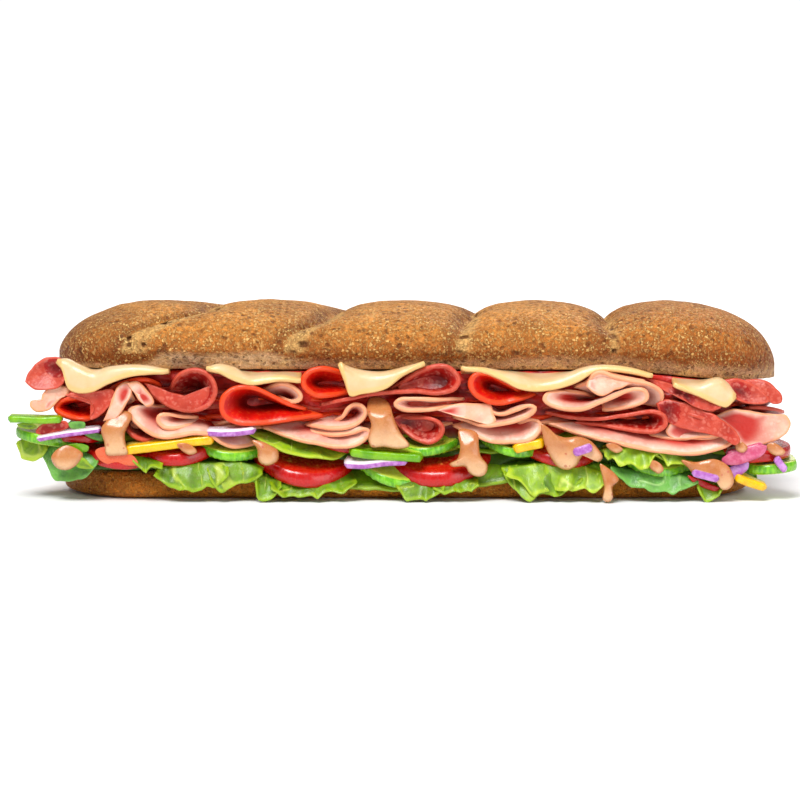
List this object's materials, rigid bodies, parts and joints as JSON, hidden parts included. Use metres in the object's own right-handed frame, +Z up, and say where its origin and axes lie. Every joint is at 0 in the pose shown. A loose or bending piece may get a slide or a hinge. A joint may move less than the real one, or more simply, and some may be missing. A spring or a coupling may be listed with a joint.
{
  "type": "submarine sandwich",
  "caption": "Long crusty roll split lengthwise and filled with folded ham, salami, pepperoni, cheese, tomato, cucumber, peppers, onion, lettuce and sauce.",
  "frame": {"origin": "middle of the bounding box in plan, on the surface the sandwich stands on", "axes": "+X along the roll, -Y toward the front side, +Z up"},
  "size_m": [0.3328, 0.0984, 0.0805],
  "materials": {
    "crust": "baked bread crust, golden brown, matt and slightly rough",
    "cheese": "soft pale yellow cheese slice, satin",
    "ham": "pink cooked ham with an orange-pink rim, moist",
    "salami": "dark pink salami with pale fat flecks, moist",
    "pepperoni": "red pepperoni with an orange rim, oily",
    "tomato": "red tomato, wet",
    "cucumber": "dark green skin and pale green flesh, wet",
    "green_pepper": "bright green pepper, glossy",
    "yellow_pepper": "yellow pepper, glossy",
    "onion": "purple and white red onion, glossy",
    "lettuce": "green lettuce and spinach leaves, satin"
  },
  "bodies": {
    "root": {"top_bun": "crust", "bottom_bun": "crust", "cheese_1": "cheese", "cheese_2": "cheese", "cheese_3": "cheese", "cheese_4": "cheese", "cheese_5": "cheese", "cucumber_1": "cucumber", "cucumber_2": "cucumber", "cucumber_3": "cucumber", "cucumber_4": "cucumber", "cucumber_5": "cucumber", "cucumber_6": "cucumber", "cucumber_7": "cucumber", "green_pepper_1": "green_pepper", "green_pepper_2": "green_pepper", "ham_arch": "ham", "ham_big": "ham", "ham_crest": "ham", "ham_far_left": "ham", "ham_far_right": "ham", "ham_flat": "ham", "ham_fold_low": "ham", "ham_inner": "ham", "ham_large": "ham", "ham_outer": "ham", "ham_roll": "ham", "ham_round": "ham", "ham_ruffle": "ham", "ham_tube": "ham", "lettuce_1": "lettuce", "lettuce_2": "lettuce", "onion_1": "onion", "onion_2": "onion", "onion_3": "onion", "onion_4": "onion", "pepperoni_1": "pepperoni", "pepperoni_2": "pepperoni", "pepperoni_3": "pepperoni", "pepperoni_flat": "pepperoni", "pepperoni_roll": "pepperoni", "salad_bed": "lettuce", "salami_1": "salami", "salami_2": "salami", "salami_3": "salami", "salami_4": "salami", "salami_5": "salami", "salami_edge": "salami", "salami_far_left": "salami", "salami_far_right": "salami", "salami_roll": "salami", "tomato_1": "tomato", "tomato_2": "tomato", "tomato_3": "tomato", "tomato_4": "tomato", "tomato_5": "tomato", "tomato_6": "tomato", "yellow_pepper_1": "yellow_pepper", "yellow_pepper_2": "yellow_pepper", "yellow_pepper_3": "yellow_pepper"}
  },
  "joints": []
}
